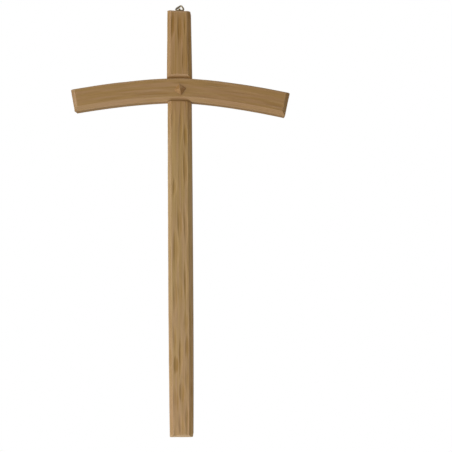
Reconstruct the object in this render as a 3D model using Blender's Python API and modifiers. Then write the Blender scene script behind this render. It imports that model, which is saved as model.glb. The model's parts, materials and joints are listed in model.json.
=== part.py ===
"""A tall wall cross of pale carved wood with a bowed crossbar.

The bar is let into the front of the post as a half lap, and a square peg with a pyramid head
pins the joint. A small brass ring, held by a folded strap in the back, hangs it on a nail.

The origin is on the flat back of the post, behind the middle of the joint. X runs along the
bar, Z runs up the post, and the carved front faces -Y.
"""

import math
import random

import bmesh
import bpy
from mathutils import Matrix, Vector

# Post
POST_ABOVE = 0.0872  # from the middle of the joint up to the top
POST_BELOW = 0.3836  # from the middle of the joint down to the foot
HEAD_WIDTH = 0.0255  # across the post at its top
SHOULDER_WIDTH = 0.0277  # just above the bar
NECK_WIDTH = 0.0263  # just under the bar
BELLY_WIDTH = 0.0272  # at the widest place of the long shaft
BELLY_BELOW = 0.2310  # how far that place lies under the joint
FOOT_WIDTH = 0.0257
TOP_SLOPE = 0.050  # the top isn't quite square: it falls to the right
TOP_SLOPE_REACH = 0.0100  # how far down the wood's lines follow that slope
BOARD = 0.0150  # thickness of the post and of the bar

# Crossbar
BAR_HALF_SPAN = 0.1187  # to the middle of its end, level with the joint
BAR_DEPTH = (0.0241, 0.0259)  # its height square to the bow, at the left end and at the right
BOW_DROP = 0.0143  # how far each end hangs under the middle
BOW_POWER = 1.6  # 2 bends it like an arc, 1 like a roof
BAR_TURN = math.radians(1.4)  # out of square with the post, right end low
BAR_RIGHT = 0.0011  # the bar and its peg sit a little right of the post's middle line

# Bevels along the front edges: how far in from the edge, and how deep
POST_BEVEL = (0.0042, 0.0032)
BAR_LOWER_BEVEL = (0.0046, 0.0034)
BAR_UPPER_BEVEL = (0.0014, 0.0012)
BAR_END_BEVEL = (0.0044, 0.0032)
TOP_BEVEL = (0.0020, 0.0015)
FOOT_BEVEL = (0.0030, 0.0022)
SHOULDER_BEVEL = (0.0042, 0.0042)  # on the post above the bar, falling to the joint

# Shallow gouge strokes along the grain of the front faces
LANE = 0.0056  # distance between two lanes of strokes
STROKE_LENGTH = (0.028, 0.060)
STROKE_WIDTH = (0.0040, 0.0070)
STROKE_DEPTH = (0.00035, 0.00075)
STROKE_SHARE = 0.85  # of the places in a lane that hold a stroke
STROKE_SLANT = 0.045  # most that a stroke strays sideways along its way
LOPSIDED = 0.40  # the gouge was held tilted: how far the deepest line lies off the hollow's middle
EDGE_FADE = 0.0012  # the strokes die out over this width at the face's edge
POST_SEED = 11
BAR_SEED = 4

# Peg
PEG_SIDE = 0.0091
PEG_TURN = math.radians(34)  # stands on a corner, a little off true
PEG_HEIGHT = 0.0030  # of the pyramid
PEG_PROUD = 0.0004  # how far its sides stand out of the bar
PEG_INSIDE = 0.0120  # how deep it goes in from the front

# Ring, strap and screw
WIRE = 0.0022  # diameter of the ring's wire
RING_ABOVE = 0.0040  # the ring's base over the top of the post
# Where the middle of the wire bends, as (across, up from the base), with each bend's radius
RING_BASE = (0.0052, 0.0, 0.0012)
RING_SHOULDER = (0.0033, 0.0028, 0.0020)
RING_TIP = (0.0006, 0.0057, 0.0012)
RING_SKEW = 0.0012  # how far to the right of the base's middle the tip lies
RING_PLAY = 0.0003  # between the ring's sides and the rolled tongue
RING_LEAN = math.radians(8)  # it rests tipped back towards the wall
STRAP_THICK = 0.0008
STRAP_SUNK = 0.0003  # its back face under the post's back
PLATE_WIDTH = 0.0090
PLATE_LENGTH = 0.0170  # from the top of the post to its round lower end
TONGUE_TAPER = 0.0014  # the plate narrows over this much either side of the post's top
SCREW_BELOW = 0.0095  # the screw under the post's top
SCREW_HEAD = (0.0048, 0.0014)  # diameter and height of its countersunk head
SCREW_SHANK = (0.0024, 0.0095)  # diameter and length
SCREW_SLOT = (0.0008, 0.0006)  # width and depth
ROLL = math.radians(285)  # how far the tongue wraps round the ring's base

GAP = 0.0003  # between pieces that touch

# Fineness of the model
POST_STEP = 0.0040
BAR_STEP = 0.0040
ACROSS = 12  # strips across a carved face
ARC_STEP = math.radians(15)
RING_ARC_STEP = math.radians(24)
PATH_SHARE = 0.1  # of a stretch of the wire, between two places where its clearance is tested
SCREW_SIDES = 24
WELD = 0.00001
PAST = 0.0020  # how far a cutter runs on through the surface it opens

LAP = BOARD / 2
EYE_RADIUS = WIRE / 2 + GAP
ROLL_RADIUS = EYE_RADIUS + STRAP_THICK
HINGE = Vector((0, -(STRAP_SUNK + STRAP_THICK + EYE_RADIUS), POST_ABOVE + RING_ABOVE))


def lerp(a, b, share):
    return a + (b - a) * share


def steps(low, high, longest):
    """Evenly spaced values from low to high, no further apart than longest."""
    count = max(1, math.ceil((high - low) / longest))
    return [lerp(low, high, i / count) for i in range(count + 1)]


def bar_depth(x):
    return lerp(*BAR_DEPTH, (x / BAR_HALF_SPAN + 1) / 2)


def post_half_width(z):
    over = bar_depth(0) / 2
    under = -over
    if z > over:
        width = lerp(SHOULDER_WIDTH, HEAD_WIDTH, (z - over) / (POST_ABOVE - over))
    elif z > under:
        width = lerp(NECK_WIDTH, SHOULDER_WIDTH, (z - under) / (over - under))
    elif z > -BELLY_BELOW:
        width = lerp(BELLY_WIDTH, NECK_WIDTH, ((z + BELLY_BELOW) / (under + BELLY_BELOW)) ** 2)
    else:
        width = lerp(BELLY_WIDTH, FOOT_WIDTH, ((z + BELLY_BELOW) / (POST_BELOW - BELLY_BELOW)) ** 2)
    return width / 2


def post_point(z, across, depth):
    share = max(0.0, 1 - (POST_ABOVE - z) / TOP_SLOPE_REACH)
    return across, depth, z - TOP_SLOPE * across * share


def bar_middle(x):
    """The point of the bar's middle line at x, and the direction square to the line, upwards."""
    share = abs(x) / BAR_HALF_SPAN
    height = -BOW_DROP * share**BOW_POWER
    slope = -math.copysign(BOW_DROP * BOW_POWER * share ** (BOW_POWER - 1) / BAR_HALF_SPAN, x)
    return Vector((x, 0, height)), Vector((-slope, 0, 1)).normalized()


def gouge_strokes(low, high, half_width, seed):
    """Strokes in lanes along a face: middle along, middle across, half length, half width, depth, slant."""
    dice = random.Random(seed)
    strokes = []
    lanes = max(1, round(2 * half_width / LANE))
    for lane in range(lanes):
        across = lerp(-half_width, half_width, (lane + 0.5) / lanes)
        along = low - dice.uniform(0, STROKE_LENGTH[1])
        while along < high:
            length = dice.uniform(*STROKE_LENGTH)
            width = dice.uniform(*STROKE_WIDTH)
            depth = dice.uniform(*STROKE_DEPTH)
            drift = dice.uniform(-0.25, 0.25) * LANE
            slant = dice.uniform(-STROKE_SLANT, STROKE_SLANT)
            if dice.random() < STROKE_SHARE:
                strokes.append((along + length / 2, across + drift, length / 2, width / 2, depth, slant))
            along += length * dice.uniform(0.75, 1.15)
    return strokes


def carved(strokes, along, across, half_width):
    """Depth of the gouging at a place on a face."""
    deepest = 0.0
    for middle, lane, half_length, half_stroke, depth, slant in strokes:
        u = (along - middle) / half_length
        if abs(u) < 1:
            off = across - lane - slant * (along - middle)
            v = off / half_stroke / (1 + math.copysign(LOPSIDED, off))
            deepest = max(deepest, depth * ((1 - u * u) ** 2 - v * v))
    fade = min(1.0, max(0.0, (half_width - abs(across)) / EDGE_FADE))
    return deepest * fade


def section(left, right, left_bevel, right_bevel, sunk, strokes, along):
    """A board's cross-section as (across, depth) points, from the back on the left to the back on the right.

    sunk lowers the carved face, which then widens along the bevels' slopes.
    """
    low = left + left_bevel[0] * max(0.0, 1 - sunk / left_bevel[1])
    high = right - right_bevel[0] * max(0.0, 1 - sunk / right_bevel[1])
    middle, half = (low + high) / 2, (high - low) / 2
    points = [(left, 0), (left, -(BOARD - max(sunk, left_bevel[1])))]
    for i in range(ACROSS + 1):
        across = lerp(low, high, i / ACROSS)
        cut = carved(strokes, along, across - middle, half) if sunk == 0 else 0
        points.append((across, -(BOARD - sunk - cut)))
    points += [(right, -(BOARD - max(sunk, right_bevel[1]))), (right, 0)]
    return points


def mesh_object(name, bm, collection):
    mesh = bpy.data.meshes.new(name)
    bm.to_mesh(mesh)
    bm.free()
    made = bpy.data.objects.new(name, mesh)
    collection.objects.link(made)
    return made


def loft(name, rings, collection):
    """A closed solid through rings of equally many points, with both ends capped."""
    bm = bmesh.new()
    loops = [[bm.verts.new(point) for point in ring] for ring in rings]
    for here, there in zip(loops, loops[1:]):
        for i in range(len(here)):
            j = (i + 1) % len(here)
            bm.faces.new((here[i], here[j], there[j], there[i]))
    bm.faces.new(loops[0])
    bm.faces.new(loops[-1])
    bmesh.ops.remove_doubles(bm, verts=bm.verts, dist=WELD)
    bmesh.ops.recalc_face_normals(bm, faces=bm.faces)
    return mesh_object(name, bm, collection)


def prism(name, outline, low, high, axis, collection):
    """A flat outline of (a, b) points pushed along axis from low to high: X takes (y, z), Y takes (x, z)."""
    place = {"X": lambda a, b, t: (t, a, b), "Y": lambda a, b, t: (a, t, b)}[axis]
    return loft(name, [[place(a, b, t) for a, b in outline] for t in (low, high)], collection)


def turned(name, profile, sides, collection):
    """A profile of (radius, height) points, from the outer rim at the top down, turned about Z."""
    bm = bmesh.new()
    verts = [bm.verts.new((radius, 0, height)) for radius, height in profile]
    for here, there in zip(verts, verts[1:]):
        bm.edges.new((here, there))
    made = mesh_object(name, bm, collection)
    turn = made.modifiers.new("Turn", "SCREW")
    turn.steps = turn.render_steps = sides
    turn.use_merge_vertices = True
    turn.merge_threshold = WELD
    return made


def cut(target, cutter):
    """Takes the cutter out of the target."""
    hole = target.modifiers.new("Cut " + cutter.name, "BOOLEAN")
    hole.operation = "DIFFERENCE"
    hole.object = cutter


def finish(made, name, colour, roughness, metallic=0.0):
    material = bpy.data.materials.new(name)
    material.use_nodes = True
    shader = material.node_tree.nodes["Principled BSDF"]
    shader.inputs["Base Color"].default_value = (*colour, 1)
    shader.inputs["Roughness"].default_value = roughness
    shader.inputs["Metallic"].default_value = metallic
    made.data.materials.append(material)


def new_collection(name):
    collection = bpy.data.collections.new(name)
    bpy.context.scene.collection.children.link(collection)
    return collection


def upright_post(parts, cutters):
    """The full-length post, with the lap for the bar, the peg's socket and the strap's pocket."""
    half_face = BELLY_WIDTH / 2 - POST_BEVEL[0]
    strokes = gouge_strokes(-POST_BELOW, POST_ABOVE, half_face, POST_SEED)
    foot, top = -POST_BELOW + FOOT_BEVEL[0], POST_ABOVE - TOP_BEVEL[0]
    levels = [(-POST_BELOW, FOOT_BEVEL[1])]
    levels += [(z, 0.0) for z in steps(foot, top, POST_STEP)]
    levels += [(POST_ABOVE, TOP_BEVEL[1])]
    rings = []
    for z, sunk in levels:
        half = post_half_width(z)
        points = section(-half, half, POST_BEVEL, POST_BEVEL, sunk, strokes, z)
        rings.append([post_point(z, across, depth) for across, depth in points])
    post = loft("upright_post", rings, parts)

    cut(post, bar_sweep("lap_cutter", lap_section, POST_ABOVE, cutters))
    cut(post, peg_shape("post_socket_cutter", GAP, cutters))
    pocket = plate_outline(GAP, POST_ABOVE + PAST)
    depth = STRAP_SUNK + STRAP_THICK + GAP
    cut(post, prism("pocket_cutter", pocket, -depth, PAST, "Y", cutters))
    cut(post, screw_shape("screw_hole_cutter", GAP, cutters))
    finish(post, "post_wood", (0.40, 0.25, 0.12), 0.6)
    return post


def lap_section(x):
    """What the bar at x takes out of the post: (height over the bar's middle, depth) points."""
    high = bar_depth(x) / 2 + GAP
    low = -high
    length, fall = SHOULDER_BEVEL
    rise = PAST / fall * length
    return [
        (low, -BOARD - PAST),
        (low, -LAP + GAP / 2),
        (high, -LAP + GAP / 2),
        (high, -BOARD + fall),
        (high + length + rise, -BOARD - PAST),
    ]


def bar_sweep(name, outline_at, half_span, collection):
    """Outlines of (height, depth) points run along the bowed line of the bar, placed with it."""
    rings = []
    for x in steps(-half_span, half_span, BAR_STEP):
        middle, up = bar_middle(x)
        rings.append([middle + up * height + Vector((0, depth, 0)) for height, depth in outline_at(x)])
    made = loft(name, rings, collection)
    made.location.x, made.rotation_euler.y = BAR_RIGHT, BAR_TURN
    return made


def crossbar(parts, cutters):
    """The bowed bar, cut away behind for the post and pierced for the peg."""
    half_face = (bar_depth(0) - BAR_LOWER_BEVEL[0] - BAR_UPPER_BEVEL[0]) / 2
    strokes = gouge_strokes(-BAR_HALF_SPAN, BAR_HALF_SPAN, half_face, BAR_SEED)
    inner = BAR_HALF_SPAN - BAR_END_BEVEL[0]
    levels = [(-BAR_HALF_SPAN, BAR_END_BEVEL[1])]
    levels += [(x, 0.0) for x in steps(-inner, inner, BAR_STEP)]
    levels += [(BAR_HALF_SPAN, BAR_END_BEVEL[1])]
    rings = []
    for x, sunk in levels:
        middle, up = bar_middle(x)
        half = bar_depth(x) / 2
        points = section(-half, half, BAR_LOWER_BEVEL, BAR_UPPER_BEVEL, sunk, strokes, x)
        rings.append([middle + up * height + Vector((0, depth, 0)) for height, depth in points])
    bar = loft("crossbar", rings, parts)
    bar.location.x, bar.rotation_euler.y = BAR_RIGHT, BAR_TURN

    reach = max(BAR_DEPTH)
    rings = []
    for z in steps(-reach, reach, POST_STEP):
        half = post_half_width(z) + GAP
        corners = ((-half, PAST), (-half, -LAP - GAP / 2), (half, -LAP - GAP / 2), (half, PAST))
        rings.append([(across, depth, z) for across, depth in corners])
    cut(bar, loft("post_cutter", rings, cutters))
    cut(bar, peg_shape("bar_socket_cutter", GAP, cutters))
    finish(bar, "bar_wood", (0.42, 0.27, 0.13), 0.6)
    return bar


def peg_shape(name, spare, collection):
    """The square peg, or with some spare the straight hole that takes it."""
    half = PEG_SIDE / 2 + spare
    corners = ((-half, -half), (half, -half), (half, half), (-half, half))
    inner = -(BOARD - PEG_INSIDE) + spare
    front = -BOARD - (PAST if spare else PEG_PROUD)
    tip = front if spare else front - PEG_HEIGHT
    rings = [[(a, inner, b) for a, b in corners], [(a, front, b) for a, b in corners]]
    if not spare:
        rings.append([(0, tip, 0)] * len(corners))
    made = loft(name, rings, collection)
    made.location.x, made.rotation_euler.y = BAR_RIGHT, PEG_TURN
    return made


def centre_peg(parts):
    peg = peg_shape("centre_peg", 0, parts)
    finish(peg, "peg_wood", (0.38, 0.23, 0.11), 0.55)
    return peg


def ring_drift(up):
    """How far the leaning ring has moved to the right at a height over its base."""
    return RING_SKEW * up / RING_TIP[1]


def tongue_half_width():
    """Half of the tongue that wraps the ring's base: its upper corners clear the wire of both sides."""
    clear = WIRE / 2 + RING_PLAY
    path = [Vector(point) for point in ring_path()]
    room = []
    for here, there in zip(path, path[1:] + path[:1]):
        for share in steps(0, 1, PATH_SHARE):
            across, up = here.lerp(there, share)
            off = up - ROLL_RADIUS
            if abs(off) < clear:
                room.append(abs(across) - math.sqrt(clear * clear - off * off))
    return min(room)


def plate_outline(spare, top):
    """The strap seen from behind, as (x, z) points: a round-ended plate that narrows to a tongue."""
    half = PLATE_WIDTH / 2 + spare
    tongue = tongue_half_width() + spare
    round_middle = POST_ABOVE - PLATE_LENGTH + PLATE_WIDTH / 2
    points = [(tongue, top), (tongue, POST_ABOVE + TONGUE_TAPER), (half, POST_ABOVE - TONGUE_TAPER)]
    if spare:
        points = [(half, top)]
    for angle in steps(0, math.pi, ARC_STEP):
        points.append((half * math.cos(angle), round_middle - half * math.sin(angle)))
    return points + [(-x, z) for x, z in reversed(points[: 1 if spare else 3])]


def hanger_strap(parts, cutters):
    """A brass strip laid in the pocket, its upper end rolled forward round the ring's bar."""
    middle = EYE_RADIUS + STRAP_THICK / 2
    bottom = POST_ABOVE - PLATE_LENGTH - PAST
    back, front = [(-STRAP_SUNK, bottom)], [(-STRAP_SUNK - STRAP_THICK, bottom)]
    for angle in steps(0, ROLL, ARC_STEP):
        for side, radius in ((back, middle + STRAP_THICK / 2), (front, middle - STRAP_THICK / 2)):
            side.append((HINGE.y + radius * math.cos(angle), HINGE.z + radius * math.sin(angle)))
    half = PLATE_WIDTH / 2 + PAST
    strap = prism("hanger_strap", back + front[::-1], -half, half, "X", parts)

    reach = ROLL_RADIUS + STRAP_THICK
    outline = plate_outline(0, HINGE.z + reach)
    shape = prism("plate_shape", outline, HINGE.y - reach, PAST, "Y", cutters)
    keep = strap.modifiers.new("Plate outline", "BOOLEAN")
    keep.operation = "INTERSECT"
    keep.object = shape
    cut(strap, screw_shape("plate_hole_cutter", GAP, cutters))
    finish(strap, "strap_brass", (0.45, 0.33, 0.14), 0.4, 1.0)
    return strap


def screw_shape(name, spare, collection):
    """The screw, pointing into the post, or with some spare the hole for its shank."""
    head, shank = SCREW_HEAD[0] / 2 + spare, SCREW_SHANK[0] / 2 + spare
    crown = -STRAP_SUNK
    neck = crown - SCREW_HEAD[1]
    point = neck - SCREW_SHANK[1] - spare
    profile = [(0, PAST), (head, PAST)] if spare else [(0, crown)]
    profile += [(head, crown), (shank, neck), (shank, point + 2 * shank), (0, point)]
    made = turned(name, profile, SCREW_SIDES, collection)
    made.matrix_world = Matrix.Translation((0, 0, POST_ABOVE - SCREW_BELOW)) @ Matrix.Rotation(
        -math.pi / 2, 4, "X"
    )
    return made


def hanger_screw(parts, cutters):
    """A countersunk screw with one slot, through the strap into the post."""
    screw = screw_shape("hanger_screw", 0, parts)
    width, depth = SCREW_SLOT
    middle, reach = POST_ABOVE - SCREW_BELOW, SCREW_HEAD[0]
    outline = [(a * reach, middle + b * width / 2) for a, b in ((-1, -1), (1, -1), (1, 1), (-1, 1))]
    cut(screw, prism("slot_cutter", outline, -STRAP_SUNK - depth, PAST, "Y", cutters))
    finish(screw, "screw_brass", (0.42, 0.31, 0.14), 0.35, 1.0)
    return screw


def ring_path():
    """The middle of the ring's wire as (x, z) points: a rounded, leaning triangle with bowed sides."""
    right = (RING_BASE, RING_SHOULDER)
    left = [(-x, z, radius) for x, z, radius in reversed(right)]
    bends = [*right, RING_TIP, *left]
    corners = [Vector(bend[:2]) for bend in bends]
    points = []
    for i, (corner, bend) in enumerate(zip(corners, bends)):
        before = (corners[i - 1] - corner).normalized()
        after = (corners[(i + 1) % len(corners)] - corner).normalized()
        half_angle = before.angle(after) / 2
        centre = corner + (before + after).normalized() * bend[2] / math.sin(half_angle)
        spoke = corner + before * bend[2] / math.tan(half_angle) - centre
        for turn in steps(0, math.pi - 2 * half_angle, RING_ARC_STEP):
            points.append(centre + Matrix.Rotation(turn, 2) @ spoke)
    return [(x + ring_drift(z), z) for x, z in points]


def hanger_ring(parts):
    """One closed wire with three corners, turning on its straight base."""
    curve = bpy.data.curves.new("hanger_ring", "CURVE")
    curve.dimensions = "3D"
    curve.bevel_depth = WIRE / 2
    curve.bevel_resolution = 2
    path = ring_path()
    spline = curve.splines.new("POLY")
    spline.points.add(len(path) - 1)
    for point, (x, z) in zip(spline.points, path):
        point.co = (x, 0, z, 1)
    spline.use_cyclic_u = True
    ring = bpy.data.objects.new("hanger_ring", curve)
    parts.objects.link(ring)
    ring.location = HINGE
    ring.rotation_euler.x = -RING_LEAN
    finish(ring, "ring_brass", (0.42, 0.34, 0.20), 0.35, 1.0)
    return ring


def main():
    for old in list(bpy.data.objects):
        bpy.data.objects.remove(old)
    parts = new_collection("wall_cross")
    cutters = new_collection("cutters")
    upright_post(parts, cutters)
    crossbar(parts, cutters)
    centre_peg(parts)
    hanger_strap(parts, cutters)
    hanger_screw(parts, cutters)
    hanger_ring(parts)
    for cutter in cutters.objects:
        cutter.hide_render = True
        cutter.display_type = "WIRE"


main()
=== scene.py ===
# %% [markdown]
# # A tall wall cross of pale carved wood
# The real cross is two slim boards. A bowed bar is let into the front of a long post as a half lap, a square
# peg with a pyramid head pins the joint, and a small brass ring on a folded strap hangs it on a nail.
# The packed solids already give every place and size. This script makes the visible surfaces finely, gives
# wood and brass their finish, and sets up a plain studio.

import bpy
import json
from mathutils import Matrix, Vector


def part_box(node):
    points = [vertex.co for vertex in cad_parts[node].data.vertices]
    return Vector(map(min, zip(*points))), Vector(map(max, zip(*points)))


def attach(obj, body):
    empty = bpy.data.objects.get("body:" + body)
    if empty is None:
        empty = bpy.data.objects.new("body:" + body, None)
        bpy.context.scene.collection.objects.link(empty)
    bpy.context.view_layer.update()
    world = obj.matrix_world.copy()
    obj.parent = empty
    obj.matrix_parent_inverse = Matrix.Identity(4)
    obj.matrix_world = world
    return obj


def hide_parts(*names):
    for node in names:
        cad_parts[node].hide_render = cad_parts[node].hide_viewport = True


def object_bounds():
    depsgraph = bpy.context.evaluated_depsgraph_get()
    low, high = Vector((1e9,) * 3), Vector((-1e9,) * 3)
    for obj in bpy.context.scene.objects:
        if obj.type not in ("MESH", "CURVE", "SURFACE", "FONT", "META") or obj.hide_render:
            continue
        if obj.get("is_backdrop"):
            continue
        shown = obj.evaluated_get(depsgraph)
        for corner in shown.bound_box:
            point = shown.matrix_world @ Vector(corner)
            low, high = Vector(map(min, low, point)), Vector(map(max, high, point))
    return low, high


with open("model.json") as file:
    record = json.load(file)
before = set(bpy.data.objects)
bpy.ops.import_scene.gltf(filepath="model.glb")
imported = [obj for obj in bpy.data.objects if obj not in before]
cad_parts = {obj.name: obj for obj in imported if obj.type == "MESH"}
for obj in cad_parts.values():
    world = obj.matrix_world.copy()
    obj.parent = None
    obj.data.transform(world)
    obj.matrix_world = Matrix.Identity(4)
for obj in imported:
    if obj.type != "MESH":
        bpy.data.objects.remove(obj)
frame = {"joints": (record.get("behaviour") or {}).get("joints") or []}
CAD_BOX = [list(corner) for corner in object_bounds()]

# %% Other imports
import json
import math
import random

import bmesh
import bpy
import numpy as np
from mathutils import Matrix, Vector
from mathutils.kdtree import KDTree

# %% [markdown]
# ## Sizes
# Everything is in metres, with the origin on the flat back, behind the middle of the joint. The carved front
# faces -Y. The frame tells how far the post reaches and how thick it is. The other values are the maker's own
# sizes, the same as in the solids, so the fine surfaces lie where the solids lie.

# %% Sizes of the two boards
POST_LOW, POST_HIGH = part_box("upright_post")
BOARD = -POST_LOW.y
POST_BELOW = -POST_LOW.z
HEAD_WIDTH, SHOULDER_WIDTH = 0.0255, 0.0277
NECK_WIDTH, BELLY_WIDTH, FOOT_WIDTH = 0.0263, 0.0272, 0.0257
BELLY_BELOW = 0.2310
TOP_SLOPE = 0.050  # the top isn't quite square: it falls to the right
TOP_SLOPE_REACH = 0.0100  # how far down the wood's lines follow that slope
POST_ABOVE = POST_HIGH.z - TOP_SLOPE * HEAD_WIDTH / 2

BAR_HALF_SPAN = 0.1187
BAR_DEPTH = (0.0241, 0.0259)  # at the left end and at the right
BOW_DROP, BOW_POWER = 0.0143, 1.6
BAR_TURN = math.radians(1.4)
BAR_RIGHT = 0.0011  # the bar and its peg sit a little right of the post's middle line

# How far in from the edge each bevel starts, and how deep it falls
POST_BEVEL = (0.0042, 0.0032)
BAR_LOWER_BEVEL = (0.0046, 0.0034)
BAR_UPPER_BEVEL = (0.0014, 0.0012)
BAR_END_BEVEL = (0.0044, 0.0032)
TOP_BEVEL = (0.0020, 0.0015)
FOOT_BEVEL = (0.0030, 0.0022)
SHOULDER_BEVEL = (0.0042, 0.0042)

FIT = 0.00012  # hairline between pieces that touch
print(f"post {POST_ABOVE + POST_BELOW:.4f} long, board {BOARD:.4f} thick")


def lerp(a, b, share):
    return a + (b - a) * share


def steps(low, high, longest):
    """Evenly spaced values from low to high, no further apart than longest."""
    count = max(1, math.ceil((high - low) / longest))
    return [lerp(low, high, i / count) for i in range(count + 1)]


def bar_depth(x):
    return lerp(*BAR_DEPTH, (x / BAR_HALF_SPAN + 1) / 2)


def post_half_width(z):
    over = bar_depth(0) / 2
    under = -over
    if z > over:
        width = lerp(SHOULDER_WIDTH, HEAD_WIDTH, (z - over) / (POST_ABOVE - over))
    elif z > under:
        width = lerp(NECK_WIDTH, SHOULDER_WIDTH, (z - under) / (over - under))
    elif z > -BELLY_BELOW:
        width = lerp(BELLY_WIDTH, NECK_WIDTH, ((z + BELLY_BELOW) / (under + BELLY_BELOW)) ** 2)
    else:
        width = lerp(BELLY_WIDTH, FOOT_WIDTH, ((z + BELLY_BELOW) / (POST_BELOW - BELLY_BELOW)) ** 2)
    return width / 2


def bow_height(x):
    """Height of the bowed bar's middle line at x: 0 in the middle of the bar, lower towards its ends."""
    return -BOW_DROP * (abs(x) / BAR_HALF_SPAN) ** BOW_POWER


def bar_middle(x):
    """The point of the bar's middle line at x, and the direction square to the line, upwards."""
    share = abs(x) / BAR_HALF_SPAN
    slope = -math.copysign(BOW_DROP * BOW_POWER * share ** (BOW_POWER - 1) / BAR_HALF_SPAN, x)
    return Vector((x, 0, bow_height(x))), Vector((-slope, 0, 1)).normalized()


# %% [markdown]
# ## The studio
# The photograph was taken from close by, a little to the right of the cross and level with the upper part of
# its shaft. Its light is soft and comes mostly from the left. One large lamp could give that, but the bevels
# and the underside of the bar are lit too. So four square lamps stand round the front, each with its own
# strength, and two behind light the sides and the back, which the photograph doesn't show. The surroundings
# look white but give only a little light.

# %% Camera
VIEW_DISTANCE = 0.638  # from the lens to the front faces
CAMERA_RIGHT = 0.0507
CAMERA_BELOW = 0.1507
CAMERA_ROLL = math.radians(0.34)
LENS, SENSOR = 46.2, 36.0

camera = bpy.data.objects.new("camera", bpy.data.cameras.new("camera"))
camera.data.lens, camera.data.sensor_width = LENS, SENSOR
camera.location = (CAMERA_RIGHT, -BOARD - VIEW_DISTANCE, -CAMERA_BELOW)
camera.rotation_euler = (math.radians(90), CAMERA_ROLL, 0)
bpy.context.scene.collection.objects.link(camera)
bpy.context.scene.camera = camera
print("camera at", tuple(round(v, 4) for v in camera.location))

# %% Lamps
MIDDLE = Vector((0, 0, (POST_ABOVE - POST_BELOW) / 2))


def soft_lamp(name, direction, distance, side, strength):
    """A square lamp. Strength is how bright a white card is that faces it, where 1 is pure white."""
    lamp = bpy.data.lights.new(name, "AREA")
    lamp.shape = "SQUARE"
    lamp.size = side
    lamp.energy = strength * (math.pi * distance) ** 2
    holder = bpy.data.objects.new(name, lamp)
    away = Vector(direction).normalized()
    holder.location = MIDDLE + away * distance
    holder.rotation_euler = away.to_track_quat("Z", "Y").to_euler()
    holder.visible_camera = False
    bpy.context.scene.collection.objects.link(holder)


soft_lamp("left_lamp", (-0.92, -0.38, -0.05), 3.0, 1.2, 0.46)
soft_lamp("front_lamp", (-0.05, -0.93, -0.36), 2.5, 0.9, 0.18)
soft_lamp("low_lamp", (-0.08, -0.42, -0.90), 2.0, 0.8, 0.21)
soft_lamp("top_lamp", (0.0, -0.26, 0.96), 3.0, 1.2, 0.26)
soft_lamp("right_back_lamp", (0.85, 0.50, 0.10), 2.0, 1.0, 0.20)
soft_lamp("left_back_lamp", (-0.75, 0.65, 0.20), 2.0, 1.0, 0.40)

# %% Surroundings and floor
SKY_LIGHT = 0.17  # how brightly the white surroundings light the cross
FLOOR_HEIGHT = -2.3
FLOOR_WIDE, FLOOR_NEAR, FLOOR_FAR = 4.0, -5.0, 2.0

world = bpy.data.worlds.new("white_surroundings")
bpy.context.scene.world = world
world.use_nodes = True
sky = world.node_tree
glow = sky.nodes["Background"]
glow.inputs["Color"].default_value = (1, 1, 1, 1)
path = sky.nodes.new("ShaderNodeLightPath")
strength = sky.nodes.new("ShaderNodeMapRange")
strength.inputs["To Min"].default_value = SKY_LIGHT
sky.links.new(path.outputs["Is Camera Ray"], strength.inputs["Value"])
sky.links.new(strength.outputs["Result"], glow.inputs["Strength"])
bpy.context.scene.view_settings.view_transform = "Standard"

floor_mesh = bpy.data.meshes.new("floor")
floor_mesh.from_pydata(
    [(x, y, FLOOR_HEIGHT) for x, y in (
        (-FLOOR_WIDE, FLOOR_NEAR), (FLOOR_WIDE, FLOOR_NEAR), (FLOOR_WIDE, FLOOR_FAR), (-FLOOR_WIDE, FLOOR_FAR)
    )], [], [(0, 1, 2, 3)],
)
floor = bpy.data.objects.new("floor", floor_mesh)
floor.visible_diffuse = False
bpy.context.scene.collection.objects.link(floor)
floor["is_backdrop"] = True
pale = bpy.data.materials.new("pale_floor")
pale.use_nodes = True
paint = pale.node_tree.nodes["Principled BSDF"].inputs
paint["Base Color"].default_value = (0.8, 0.8, 0.79, 1)
paint["Roughness"].default_value = 0.8
paint["Emission Color"].default_value = (1, 1, 0.99, 1)
paint["Emission Strength"].default_value = 0.6
floor_mesh.materials.append(pale)
print("floor at", FLOOR_HEIGHT)

# %% [markdown]
# ## Node trees as expressions
# A node tree is easier to read as a formula. The class below wraps one output of a node. Arithmetic on it
# adds Math nodes, and its method node() adds any other node: its settings are set first, then its sockets get
# values or links. It serves shader trees and Geometry Nodes trees alike.

# %% Wires


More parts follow.
